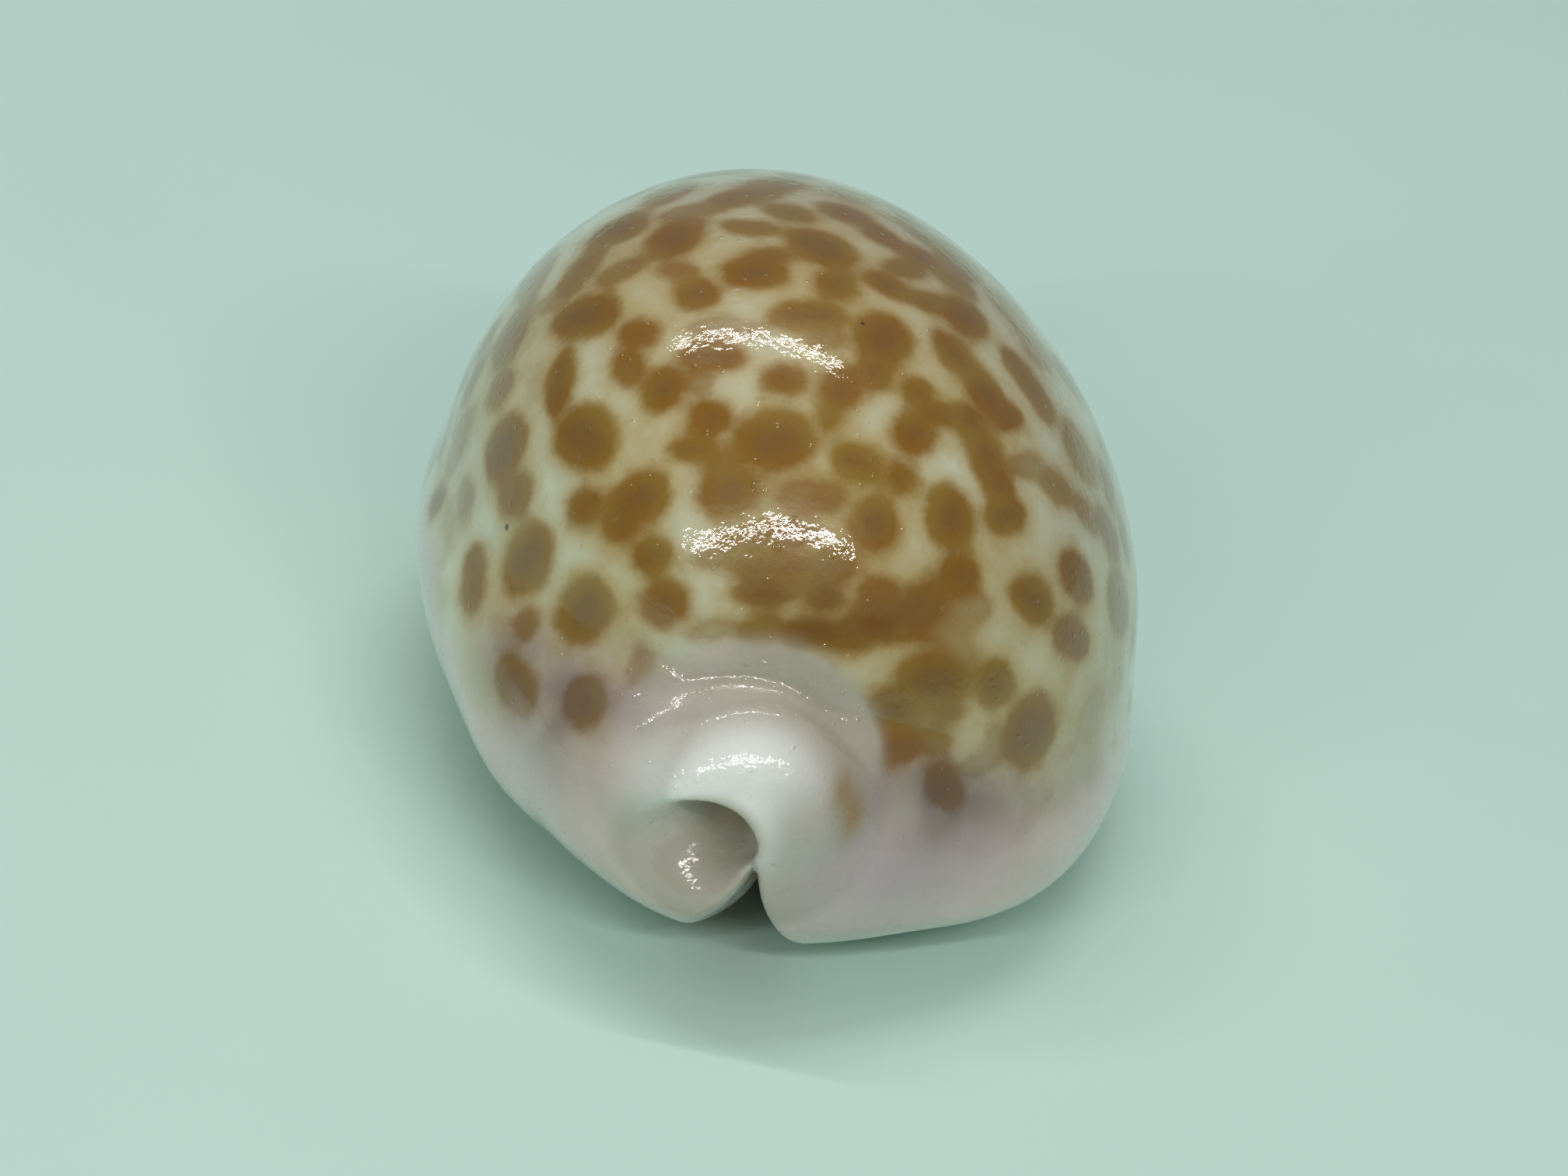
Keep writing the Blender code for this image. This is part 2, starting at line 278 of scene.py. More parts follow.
def evened(fn, v, quads, n, share=0.5):
    e = np.concatenate([quads[:, [0, 1]], quads[:, [1, 2]], quads[:, [2, 3]], quads[:, [3, 0]]])
    e = np.concatenate([e, e[:, ::-1]])
    degree = np.bincount(e[:, 0], minlength=len(v))[:, None]
    for _ in range(n):
        mean = np.stack([np.bincount(e[:, 0], weights=v[e[:, 1], a], minlength=len(v)) for a in range(3)], 1) / degree
        d = mean - v
        g = unit(slope(fn, v))
        d -= (d * g).sum(1, keepdims=True) * g
        v = onto(fn, v + share * d, 1)
    return v


xs = graded(-17.0, 17.0, lambda x: 0.23 + 0.17 * sstep(6.5, 9.5, abs(x)))
ys = graded(-23.0, 24.0, lambda y: 0.20 + 0.15 * sstep(-17.0, -13.5, y) - 0.06 * sstep(15.0, 18.0, y))
zs = graded(-1.2, 27.0, lambda z: 0.24 - 0.03 * sstep(9.0, 11.5, z) + 0.20 * sstep(13.8, 16.5, z))
verts, quads = surface(shell_field, xs, ys, zs)
verts = evened(shell_field, onto(shell_field, verts, 3), quads, 2)
verts[:, 2] = np.maximum(verts[:, 2], 0.0)
normals = unit(slope(shell_field, verts))

# ------------------------------------------------------------------ markings
# Spots of the back: x, y, z of the centre, long radius, short radius, turn from across towards the front (degrees), strength
SPOTS = [
    (-10.6, -4.7, 21.1, 1.7, 1.1, -40, 0.9), (-11.3, -7, 19.2, 1.5, 0.7, 60, 0.85), (-10.2, -9.8, 18.5, 1.6, 1.2, -60, 0.95),
    (-8.6, -7.1, 21.9, 0.9, 0.7, -40, 0.75), (-8.9, -8.3, 21.1, 1, 0.7, -85, 0.7), (-7.5, -9.8, 21.2, 0.9, 0.9, -40, 0.85),
    (-5.8, -9, 22.5, 1.3, 0.7, -15, 1), (-5.4, -7.8, 23.2, 1.4, 0.4, -10, 0.4), (-5.7, -11.3, 21, 0.9, 0.8, -40, 0.9),
    (-6.1, -12.1, 20, 0.9, 0.5, -20, 0.85), (-6.6, -5.9, 23.5, 0.9, 0.8, -45, 0.8), (-7.3, -4.3, 23.5, 0.9, 0.6, -45, 0.6),
    (-7.5, -1.8, 23.7, 1.4, 1.2, 90, 0.8), (-7.1, -0.5, 23.8, 0.9, 0.6, -50, 0.6), (-4.5, -4.9, 24.3, 1.3, 1, 5, 0.9),
    (-3.9, -3.8, 24.5, 0.9, 0.6, 15, 0.7), (-4.6, -1.6, 24.5, 1.1, 0.6, -15, 0.65), (-4.7, 1.6, 24.2, 2, 1, 35, 0.6),
    (-3.4, 3.7, 24, 1.4, 0.9, 55, 0.5), (-6.8, 0.5, 23.8, 1.4, 0.7, -5, 0.5), (-7.6, 3.5, 22.9, 1.6, 1, 80, 0.5),
    (-9.5, 0.8, 22.3, 1.5, 1.3, -45, 0.65), (-10.9, -1.5, 21.2, 1.6, 0.9, 50, 0.6), (-9.4, -3, 22.5, 1.1, 0.6, 5, 0.6),
    (-12.3, 2.1, 19.1, 2.6, 1.1, 90, 0.55), (-13.1, -1.7, 18.2, 1.6, 1.3, 60, 0.65), (-13.3, -4.2, 17, 1, 0.8, -20, 0.6),
    (-11.9, -2.2, 20, 1.1, 0.3, -40, 0.35), (-12.9, -6.9, 15.8, 1.5, 1.3, -30, 0.85), (-14.4, -2.8, 13.6, 1.7, 1, -10, 0.5),
    (-12.3, -8.9, 14.9, 1, 0.9, -40, 0.7), (-13.9, -5.8, 12.7, 0.8, 0.7, -20, 0.5), (-9.8, -11.7, 16.5, 0.9, 0.7, -25, 0.75),
    (-7.9, -12.7, 17.8, 1.3, 1, -10, 0.95), (-8.4, -12.9, 16.6, 0.7, 0.6, -45, 0.9), (-7.1, -14.1, 16.1, 0.8, 0.7, -35, 0.8),
    (-6.4, -15.1, 14.8, 1, 0.9, -25, 0.85), (-9.1, -13.5, 13, 1.4, 1.1, -15, 0.95), (-11.5, -10.8, 13.3, 1.6, 1.2, -15, 0.95),
    (-13.2, -8.8, 10.9, 1.4, 0.8, 60, 0.85), (-11, -12.3, 11.1, 0.7, 0.5, 55, 0.6), (-11.2, -13.9, 9.4, 1.35, 0.85, 80, 0.85),
    (-8.8, -16.4, 10.7, 1.15, 0.9, -80, 0.82), (-7.0, -16.25, 12.35, 0.95, 0.45, 75, 0.55), (-2.7, -15.7, 16.3, 1.2, 0.6, -5, 1),
    (-2.7, -16.3, 14.9, 0.9, 0.5, -5, 0.9), (-2.7, -15.3, 17.1, 1.4, 0.5, -5, 0.85), (-4.5, -13.5, 19.2, 0.9, 0.8, -20, 0.9),
    (-4.5, -16.1, 14.4, 1, 0.3, -20, 0.4), (-4.8, -14.8, 16.9, 0.7, 0.3, -20, 0.5), (-3.1, -12.2, 21, 1.4, 1, 25, 0.92),
    (-3, -10.1, 22.5, 0.8, 0.6, -5, 0.85), (-0.8, -10.1, 22.5, 1, 0.8, 70, 0.97), (-1.1, -11.3, 21.8, 0.6, 0.4, -90, 0.8),
    (0.5, -8.8, 22.9, 0.9, 0.7, 60, 0.75), (0.8, -7.2, 23.5, 1.5, 1.2, 70, 0.95), (-2.3, -7.1, 23.9, 1.5, 0.8, 15, 0.85),
    (-1.5, -8, 23.6, 0.8, 0.5, 30, 0.5), (-1.2, -5, 24.4, 1, 0.8, 70, 0.8), (-1.8, -2.6, 24.7, 1.6, 1.3, -35, 0.9),
    (-3, 0.1, 24.6, 1.1, 0.8, -20, 0.65), (-0.7, 1.3, 24.4, 1.1, 1, 5, 0.65), (0.9, 0.2, 24.2, 1.1, 0.9, -60, 0.65),
    (2.5, -0.3, 23.7, 1.1, 0.9, 35, 0.65), (1.8, -2, 24, 1.2, 0.6, 45, 0.7), (0.9, -3.9, 24.2, 1, 0.8, 10, 0.75),
    (2.7, -3.7, 23.6, 1, 0.6, 30, 0.7), (4.3, -3.2, 22.9, 1.4, 1.1, 60, 0.85), (4, -0.6, 23.1, 1.1, 1, 15, 0.6),
    (4.3, 2.4, 22.6, 2.2, 1.3, 80, 0.55), (-0, 4.8, 23.5, 1.7, 0.9, 60, 0.45), (2.7, 3.5, 23.1, 1.6, 1, 85, 0.5),
    (3.8, -5.9, 22.7, 1.1, 0.9, -30, 0.8), (5.3, -6.8, 21.6, 1.1, 1, 20, 0.85), (6.2, -7, 20.8, 1, 0.6, 55, 0.8),
    (2.4, -8.9, 22.3, 0.7, 0.7, 25, 0.8), (3.3, -9.3, 21.7, 1.1, 0.6, 35, 0.85), (2.3, -10.6, 21.3, 1, 0.8, 60, 0.85),
    (4.6, -8.6, 21.2, 0.9, 0.8, 45, 0.85), (5.5, -9.4, 20.3, 1, 0.9, -35, 0.85), (6.2, -9.9, 19.4, 0.8, 0.8, -35, 0.85),
    (6.6, -10.7, 18.5, 1.2, 0.7, 55, 0.85), (6.7, 1.4, 21.3, 1.7, 1.1, 55, 0.45), (7.2, -3.8, 21, 1.6, 0.9, -20, 0.65),
    (8.1, -4.4, 20.1, 0.8, 0.6, 55, 0.6), (7.7, -0.2, 20.7, 1.6, 1.2, 90, 0.45), (10, -4, 18.1, 1.5, 1.2, 15, 0.55),
    (8.8, -7.4, 18.3, 1.2, 0.7, 25, 0.6), (7.3, -8.2, 19.5, 1.1, 0.5, 55, 0.5), (10.5, -6.3, 16.7, 1.2, 0.6, 25, 0.55),
    (0.2, -12.4, 20.7, 1.1, 0.7, 0, 0.97), (1.9, -12.3, 20.2, 0.7, 0.7, 35, 0.85), (1.1, -13.8, 18.9, 1.1, 1, 75, 0.93),
    (4.2, -12.3, 18.9, 1.2, 1.1, -40, 0.9), (-1.1, -13.7, 19.6, 1, 0.6, 15, 0.65), (-0.2, -15.1, 17.5, 1, 0.7, 15, 0.97),
    (-1.6, -15.3, 17.3, 1, 0.5, 5, 0.7), (-0.4, -15.7, 16.5, 0.7, 0.5, 15, 1), (-0.8, -16.3, 15.1, 1.2, 0.6, 10, 1),
    (0.7, -16.2, 15.1, 1, 0.6, 25, 1), (1.7, -15.2, 16.7, 0.9, 0.6, 30, 0.8), (2, -15.7, 15.7, 1.3, 0.7, 35, 1),
    (3.4, -15.1, 15.9, 1.1, 0.9, 55, 0.97), (3.7, -14.5, 16.6, 0.9, 0.6, 60, 0.98), (4.8, -13.5, 17.1, 1, 0.8, 45, 0.93),
    (5.4, -13.9, 15.9, 1.2, 0.6, 45, 0.42), (4.7, -14.7, 15.3, 1.3, 0.5, 45, 0.42), (8.2, -11.7, 15.5, 1.3, 0.8, 30, 0.85),
    (10.2, -9, 15.3, 1.5, 0.9, 30, 0.75), (10.3, -10.5, 13.4, 1.5, 0.8, 40, 0.85), (12.7, -6, 12.7, 1.6, 1.2, 30, 0.65),
    (4.6, -15.6, 13.4, 1.7, 1.2, 45, 0.88), (7.1, -14.2, 12.9, 1.1, 0.9, 30, 0.85), (3.2, -16.8, 12.5, 1.3, 1, 40, 0.97),
    (3.6, -17.3, 11.4, 1.3, 0.8, 45, 0.97), (5.3, -15.7, 12.3, 0.8, 0.5, 45, 0.98), (5, -16.3, 11.2, 0.7, 0.6, 35, 0.5),
    (9.1, -13.3, 10.5, 1.7, 1.5, 40, 0.93), (7.6, -14.6, 10.7, 0.7, 0.4, 5, 0.4), (7.1, -15.2, 9.8, 1, 0.3, 65, 0.42),
    (5.8, -16.7, 9.5, 1.2, 0.8, 15, 0.8), (1.6, -19.4, 10, 1, 0.4, -20, 0.6), (12, -9.7, 9.6, 1.3, 1, -90, 0.35),
    (13.2, -7.2, 9.4, 1.2, 0.7, 25, 0.3), (-14.3, -5.2, 11.2, 0.9, 0.5, 60, 0.35),
    (-5.0, -12.7, 19.95, 0.7, 0.5, 0, 0.6), (-2.9, -14.7, 18.1, 2.1, 0.6, 0, 0.6), (5.3, -14.7, 14.6, 1.0, 0.5, 10, 0.35), (-6.2, -10.0, 21.7, 0.6, 0.45, 0, 0.4),
    (-3.1, -12.2, 20.95, 1.6, 1.1, 0, 0.75), (-4.7, -13.5, 19.15, 1.2, 0.9, 0, 0.75), (-2.0, -13.7, 19.6, 0.8, 0.6, 0, 0.5),
]

# small flaws seen on the glaze: pits (centre, ring radius) and dark points (centre, radius)
PITS = (((-3.52, -13.46, 19.59), 0.24), ((-2.52, -14.88, 17.86), 0.12))
DARK_POINTS = (((-12.39, -9.21, 13.66), 0.19), ((-6.02, -16.07, 12.5), 0.17), ((-0.08, -6.8, 23.8), 0.12))


def body_field(p):
    return outside(p[..., 0], p[..., 1], p[..., 2])


def tangents(p):
    """Across and towards-the-front directions on the surface at p."""
    n = unit(slope(body_field, p))
    front = unit(np.array([0.0, 1.0, 0.0]) - n[:, 1:2] * n)
    return np.cross(front, n), front


def scattered_spots(placed):
    """Seeded spots over the rest of the back, spaced like the placed ones."""
    rng = np.random.default_rng(11)
    on_back = np.flatnonzero((body_field(verts) > -0.4) & (verts[:, 2] > 7.4))
    pick = verts[rng.choice(on_back, 9000, replace=False)]
    seen_side = (pick[:, 1] < 0.5 - 0.12 * np.abs(pick[:, 0])) & ~((pick[:, 0] > 11.0) & (pick[:, 1] > -9.0))
    seen_side &= ~((pick[:, 0] < -12.6) & (pick[:, 1] > -3.0))
    pick = pick[~seen_side & (pick[:, 1] < 17.6)]
    centres = [np.array(s[:3]) for s in placed]
    reach = [math.sqrt(s[3] * s[4]) for s in placed]
    made = []
    for p in pick:
        low = sstep(12.5, 7.6, p[2])
        r = (0.75 + 0.75 * rng.random() ** 1.4) * (1 - 0.35 * low)
        gap = rng.uniform(0.25, 0.9) + 0.7 * low
        d = np.linalg.norm(np.array(centres) - p, axis=1) - np.array(reach)
        if d.min() < r + gap:
            continue
        long = r * rng.uniform(1.0, 1.35)
        made.append((p[0], p[1], p[2], long, r * r / long * rng.uniform(0.95, 1.1), rng.uniform(-90, 90),
                     (0.6 + 0.35 * rng.random()) * (1 - 0.45 * low)))
        centres.append(p)
        reach.append(r)
    return made


def spot_layers(spots):
    """Distance to the nearest spot's edge (mm, negative inside) and that spot's strength, at each vertex."""
    c = np.array([s[:3] for s in spots], float)
    c = onto(body_field, c, 4, 1.0)
    across, front = tangents(c)
    edge = np.full(len(verts), 4.0)
    weight, strength = np.full(len(verts), 1e-6), np.zeros(len(verts))
    for i, s in enumerate(spots):
        long, short, turn, tone = s[3], s[4], math.radians(s[5]), s[6]
        near = np.flatnonzero(np.abs(verts - c[i]).max(1) < long + 3.2)
        d = verts[near] - c[i]
        u, v = d @ across[i], d @ front[i]
        a = (u * math.cos(turn) + v * math.sin(turn)) / long
        b = (-u * math.sin(turn) + v * math.cos(turn)) / short
        q = np.sqrt(a * a + b * b + 1e-9)
        reach = np.linalg.norm(d, axis=1)
        dist = reach * (1 - 1 / np.maximum(q, 0.05))
        dist = np.where(q < 1, np.maximum(dist, -short) * 1.0, dist)
        dist = np.where(q < 0.3, -short * (1 - q * 0.3), dist)
        edge[near] = smin(edge[near], dist, 0.6)
        w = np.exp(-np.clip(dist, -1.2, 4) * 2.2)
        weight[near] += w
        strength[near] += w * tone
    return edge, strength / weight


spots = SPOTS + scattered_spots(SPOTS)
edge, strength = spot_layers(spots)
x, y, z = verts.T
skin = body_field(verts)
inner = 1 - sstep(-0.9, -0.25, skin)                      # chamber, canals and the walls of the opening
inner = inner * sstep(-18.6, -16.2, y) * sstep(18.8, 16.8, y) * sstep(0.02, 0.6, z)
# how much pattern shows: all of the back, none on the margins' lower half, the fold and the ends
height = z + 0.10 * x + 1.9 * sstep(-8.0, -12.0, x) * sstep(-5.0, -9.0, y)
back = sstep(6.6, 10.2, height)
arc = (np.sqrt(((x + 1.9) / np.where(x < -1.9, 3.95, 3.4)) ** 2 + ((z - 9.2) / 3.65) ** 2) - 1) * 3.65   # positive outside the hood's edge
spire_side = sstep(-15.2, -17.0, y)
back = back * (1 - sstep(2.3, 1.1, arc) * spire_side) * sstep(20.2, 17.6, y)


def blob(cx, cy, cz, rx, ry, rz):
    return np.exp(-(((x - cx) / rx) ** 2 + ((y - cy) / ry) ** 2 + ((z - cz) / rz) ** 2))


lilac = blob(-10.9, -13.0, 9.6, 2.2, 3.0, 1.8) + 0.9 * blob(-8.9, -15.6, 9.9, 1.9, 2.6, 2.0) + 0.5 * blob(-7.2, -16.6, 8.6, 2.2, 2.4, 1.4)
lilac = lilac + 0.95 * blob(5.6, -17.0, 8.9, 2.2, 3.0, 1.7) + 0.5 * blob(3.6, -17.6, 10.2, 1.5, 2.4, 1.6) + 0.7 * blob(8.6, -15.2, 8.0, 2.6, 3.0, 1.3)
lilac = lilac + 0.45 * blob(11.8, -11.0, 7.6, 2.4, 3.0, 1.3) + 0.45 * blob(0.0, 18.6, 9.0, 6.5, 3.0, 2.2)
lilac = lilac + 0.7 * blob(-6.9, -17.2, 11.2, 1.7, 2.2, 1.2)
lilac = np.clip(lilac, 0, 1) * (1 - 0.35 * sstep(0.4, -0.3, edge) * strength)
mauve = 0.9 * blob(2.8, -18.8, 6.6, 3.2, 3.0, 3.2) + 0.6 * blob(7.0, -16.8, 6.4, 3.2, 3.4, 2.2) + 0.5 * blob(-9.0, -15.4, 7.4, 3.2, 3.2, 2.2)
mauve = np.clip(mauve, 0, 0.9) * (1 - 0.8 * sstep(0.4, -0.3, edge) * strength)
# beige-grey: the callus's own tone just outside the hood's edge, plus painted shade on the left lobe, which faces down
# and forward and is coloured darker
beige_and_lobe_shade = sstep(2.4, 1.3, arc) * spire_side * (0.35 + 0.65 * sstep(-7.4, -5.6, x)) + 0.6 * blob(-6.4, -17.4, 12.0, 1.8, 2.2, 1.6) + 0.75 * blob(-4.4, -19.8, 6.2, 3.0, 2.6, 2.4)
beige_and_lobe_shade = np.clip(beige_and_lobe_shade, 0, 0.95)
streak = 0.8 * blob(1.35, -19.5, 10.3, 0.5, 2.0, 0.75) + 0.9 * blob(2.0, -19.5, 9.2, 0.5, 2.0, 0.95)
burnt = 0.95 * blob(-2.7, -15.7, 16.3, 1.2, 1.3, 0.7) + 0.85 * blob(-0.35, -15.6, 16.6, 0.7, 1.3, 0.8) + 0.95 * blob(-0.8, -16.2, 15.2, 1.5, 1.3, 0.6)
burnt = np.clip(burnt + 0.95 * blob(1.7, -15.7, 15.8, 1.3, 1.3, 0.9) + 0.8 * blob(3.4, -14.9, 16.2, 1.1, 1.4, 0.9) + 0.7 * blob(3.1, -16.5, 12.9, 1.1, 1.4, 0.9), 0, 1)
smoky = 0.65 * blob(-1.6, -13.8, 18.6, 3.6, 3.4, 4.2) + 0.65 * blob(4.0, -15.0, 14.4, 3.2, 3.0, 3.0) + 0.45 * blob(-2.0, -5.0, 24.0, 7.0, 5.0, 3.0)
smoky = np.clip(smoky + 0.4 * blob(9.5, -4.0, 17.0, 4.0, 6.0, 4.0) + 0.55 * blob(13.6, -7.0, 11.0, 3.0, 6.0, 3.4), 0, 0.9)
rim = np.sqrt((x + 3.3) ** 2 + (z - 7.9) ** 2) - 2.0      # the fold's free edge round the dish
white = sstep(0.35, -0.9, arc) * np.exp(-np.clip(rim, 0, None) ** 2 / 6.0) * sstep(-0.4, 0.3, rim) * sstep(5.8, 8.4, z + 0.5 * (x + 2.0))
white = white * (1 - 0.85 * sstep(-2.4, 0.0, x) * sstep(11.4, 8.8, z)) + 0.5 * blob(-1.8, -19.0, 11.8, 2.6, 3.0, 1.3) * sstep(0.35, -0.9, arc)
white = np.clip(white, 0, 1)
white = np.maximum(white, 0.75 * sstep(2.4, -0.6, arc) * blob(-6.4, -18.6, 9.6, 2.6, 3.0, 2.0)) * spire_side
# painted shade: the dish of the spire canal, and everything lying 0.5 to 1.6 mm below the outer skin at that end, gets
# a darker colour where the recess falls into shade
painted_dish_shade = blob(-2.4, -19.6, 7.7, 1.7, 1.8, 1.7) * spire_side
painted_dish_shade = np.maximum(painted_dish_shade, sstep(-0.5, -1.6, skin) * spire_side)
callus = sstep(3.8, 1.5, z) * (1 - inner)


# ------------------------------------------------------------------ the mesh
def make_mesh(name, v, faces, n):
    me = bpy.data.meshes.new(name)
    me.vertices.add(len(v))
    me.vertices.foreach_set("co", (v * 0.001).astype(np.float32).ravel())
    me.loops.add(faces.size)
    me.loops.foreach_set("vertex_index", faces.astype(np.int32).ravel())
    me.polygons.add(len(faces))
    me.polygons.foreach_set("loop_start", np.arange(0, faces.size, 4, dtype=np.int32))
    me.polygons.foreach_set("use_smooth", np.ones(len(faces), bool))
    me.update(calc_edges=True)
    me.validate()
    me.normals_split_custom_set_from_vertices([Vector(q) for q in n])
    ob = bpy.data.objects.new(name, me)
    bpy.context.scene.collection.objects.link(ob)
    return ob


def layer(ob, name, values):
    a = ob.data.attributes.new(name, "FLOAT", "POINT")
    a.data.foreach_set("value", np.asarray(values, np.float32))


shell = make_mesh("shell_surface", verts, quads, normals)
for name, values in (("spot_edge", edge), ("spot_tone", strength), ("back", back), ("lilac", lilac),
                     ("inner", inner), ("callus", callus), ("white", white), ("painted_dish_shade", painted_dish_shade), ("mauve", mauve),
                     ("beige_and_lobe_shade", beige_and_lobe_shade), ("streak", streak), ("smoky", smoky), ("burnt", burnt)):
    layer(shell, name, values)


# ------------------------------------------------------------------ the glaze
class Nodes:
    def __init__(self, name):
        self.mat = bpy.data.materials.new(name)
        self.mat.use_nodes = True
        self.tree = self.mat.node_tree
        self.tree.nodes.clear()
        self.x = 0

    def add(self, kind, **values):
        n = self.tree.nodes.new(kind)
        self.x += 40
        n.location = (self.x, -(self.x // 40 % 7) * 160)
        for k, v in values.items():
            setattr(n, k, v)
        return n

    def link(self, a, b):
        self.tree.links.new(a, b)

    def put(self, socket, value):
        if isinstance(value, bpy.types.NodeSocket):
            self.link(value, socket)
        elif value is not None:
            socket.default_value = value

    def attr(self, name):
        return self.add("ShaderNodeAttribute", attribute_name=name).outputs["Fac"]

    def math(self, op, a, b=None, c=None, clamp=False):
        n = self.add("ShaderNodeMath", operation=op, use_clamp=clamp)
        for s, v in zip(n.inputs, (a, b, c)):
            self.put(s, v)
        return n.outputs[0]

    def ramp(self, value, a, b, lo=0.0, hi=1.0):
        n = self.add("ShaderNodeMapRange", interpolation_type="SMOOTHSTEP")
        for s, v in zip(("Value", "From Min", "From Max", "To Min", "To Max"), (value, a, b, lo, hi)):
            self.put(n.inputs[s], v)
        return n.outputs["Result"]

    def mix(self, f, a, b, blend="MIX"):
        n = self.add("ShaderNodeMix", data_type="RGBA", blend_type=blend)
        self.put(n.inputs["Factor"], f)
        self.put(n.inputs[6], a)
        self.put(n.inputs[7], b)
        return n.outputs[2]

    def noise(self, vector, scale, detail=2.0, rough=0.5, distortion=0.0):
        n = self.add("ShaderNodeTexNoise")
        self.link(vector, n.inputs["Vector"])
        for k, v in (("Scale", scale), ("Detail", detail), ("Roughness", rough), ("Distortion", distortion)):
            n.inputs[k].default_value = v
        return n.outputs["Fac"]


def rgb(r, g, b):
    return (r, g, b, 1.0)


g = Nodes("shell_glaze_looks")
mm = g.add("ShaderNodeVectorMath", operation="SCALE")
g.link(g.add("ShaderNodeTexCoord").outputs["Object"], mm.inputs[0])
mm.inputs["Scale"].default_value = 1000.0
mm = mm.outputs[0]

wander = g.math("SUBTRACT", g.noise(mm, 0.70, 3.0, 0.5), 0.5)
fine = g.math("SUBTRACT", g.noise(mm, 3.0, 2.0, 0.5), 0.5)
e = g.math("ADD", g.attr("spot_edge"), g.math("MULTIPLY", wander, 0.8))
e = g.math("ADD", e, g.math("MULTIPLY", fine, 0.16))
tone = g.attr("spot_tone")
back_n = g.attr("back")
broad = g.noise(mm, 0.16, 3.0, 0.5)

core = g.math("MULTIPLY", g.ramp(e, 0.46, -0.20), g.ramp(tone, 0.10, 0.80))
halo = g.math("MULTIPLY", g.ramp(e, 1.25, 0.0), g.math("MULTIPLY", tone, 0.80))
deep = g.math("MULTIPLY", g.ramp(e, -0.05, -1.05), g.ramp(tone, 0.4, 0.9))
deep = g.math("MAXIMUM", deep, g.math("MULTIPLY", g.attr("burnt"), core))

IVORY, IVORY_WARM = rgb(0.63, 0.66, 0.49), rgb(0.56, 0.51, 0.31)
ground = g.mix(g.ramp(broad, 0.40, 0.62), IVORY, IVORY_WARM)
haze = g.math("MULTIPLY", g.ramp(g.noise(mm, 0.42, 3.0, 0.6), 0.44, 0.70), 0.45)
haze = g.math("MAXIMUM", haze, g.math("MULTIPLY", g.attr("smoky"), g.ramp(g.noise(mm, 0.6, 2.0, 0.5), 0.25, 0.60, 0.35, 1.0)))
ground = g.mix(haze, ground, rgb(0.38, 0.25, 0.060))
brown = g.mix(g.ramp(g.noise(mm, 0.35, 2.0, 0.5), 0.36, 0.62), rgb(0.270, 0.158, 0.020), rgb(0.250, 0.114, 0.006))
brown_deep = g.mix(g.ramp(tone, 0.94, 1.0), rgb(0.195, 0.098, 0.020), rgb(0.155, 0.058, 0.003))
pattern = g.mix(halo, ground, rgb(0.41, 0.265, 0.065))
pattern = g.mix(core, pattern, brown)
pattern = g.mix(g.math("MULTIPLY", deep, 0.8), pattern, brown_deep)

calm = g.math("SUBTRACT", g.noise(mm, 0.38, 1.0, 0.4), 0.5)
margin = g.mix(g.ramp(g.noise(mm, 0.3, 3.0, 0.5), 0.4, 0.7), rgb(0.67, 0.555, 0.49), rgb(0.60, 0.505, 0.435))
outer = g.mix(g.ramp(g.math("ADD", back_n, g.math("MULTIPLY", calm, 1.0)), 0.10, 0.80), margin, pattern)
# beige-grey, partly the callus's own tone behind the hood and partly painted shade on the left lobe
outer = g.mix(g.math("MULTIPLY", g.attr("beige_and_lobe_shade"), g.ramp(calm, -0.25, 0.20, 0.75, 1.0)), outer, rgb(0.385, 0.360, 0.275))
outer = g.mix(g.attr("mauve"), outer, rgb(0.44, 0.365, 0.38))
outer = g.mix(g.math("MULTIPLY", g.attr("lilac"), g.ramp(calm, -0.20, 0.15, 0.55, 0.95)), outer,
              g.mix(core, rgb(0.235, 0.18, 0.165), rgb(0.125, 0.085, 0.060)))
outer = g.mix(g.attr("streak"), outer, rgb(0.32, 0.20, 0.085))
# painted shade: darker grey-beige in the canal's dish and the recess behind it
outer = g.mix(g.attr("painted_dish_shade"), outer, g.mix(g.noise(mm, 0.9, 2.0, 0.5), rgb(0.30, 0.275, 0.205), rgb(0.38, 0.355, 0.27)))
outer = g.mix(g.math("MULTIPLY", g.attr("white"), 0.95), outer, rgb(0.81, 0.83, 0.79))
outer = g.mix(g.math("MULTIPLY", g.attr("callus"), 0.9), outer, rgb(0.70, 0.70, 0.62))
inner_n = g.attr("inner")
inside_col = g.mix(g.ramp(g.noise(mm, 0.35, 3.0, 0.5), 0.35, 0.7), rgb(0.52, 0.30, 0.14), rgb(0.40, 0.17, 0.07))
colour = g.mix(inner_n, outer, inside_col)

bumps = g.add("ShaderNodeBump")
bumps.inputs["Strength"].default_value = 0.22
bumps.inputs["Distance"].default_value = 0.00006
grain = g.math("ADD", g.noise(mm, 3.4, 2.0, 0.55), g.math("MULTIPLY", g.noise(mm, 1.5, 1.0, 0.5), 1.2))
rough_zone = g.math("MAXIMUM", g.ramp(back_n, 0.0, 0.5, 0.5, 1.0), g.math("MULTIPLY", g.math("MAXIMUM", g.math("MAXIMUM", g.attr("white"), g.attr("painted_dish_shade")), g.attr("beige_and_lobe_shade")), 2.4))
g.link(g.math("MULTIPLY", grain, rough_zone), bumps.inputs["Height"])

def near(point):
    """Distance in mm from a point on the surface."""
    n = g.add("ShaderNodeVectorMath", operation="DISTANCE")
    g.link(mm, n.inputs[0])
    n.inputs[1].default_value = point
    return n.outputs["Value"]


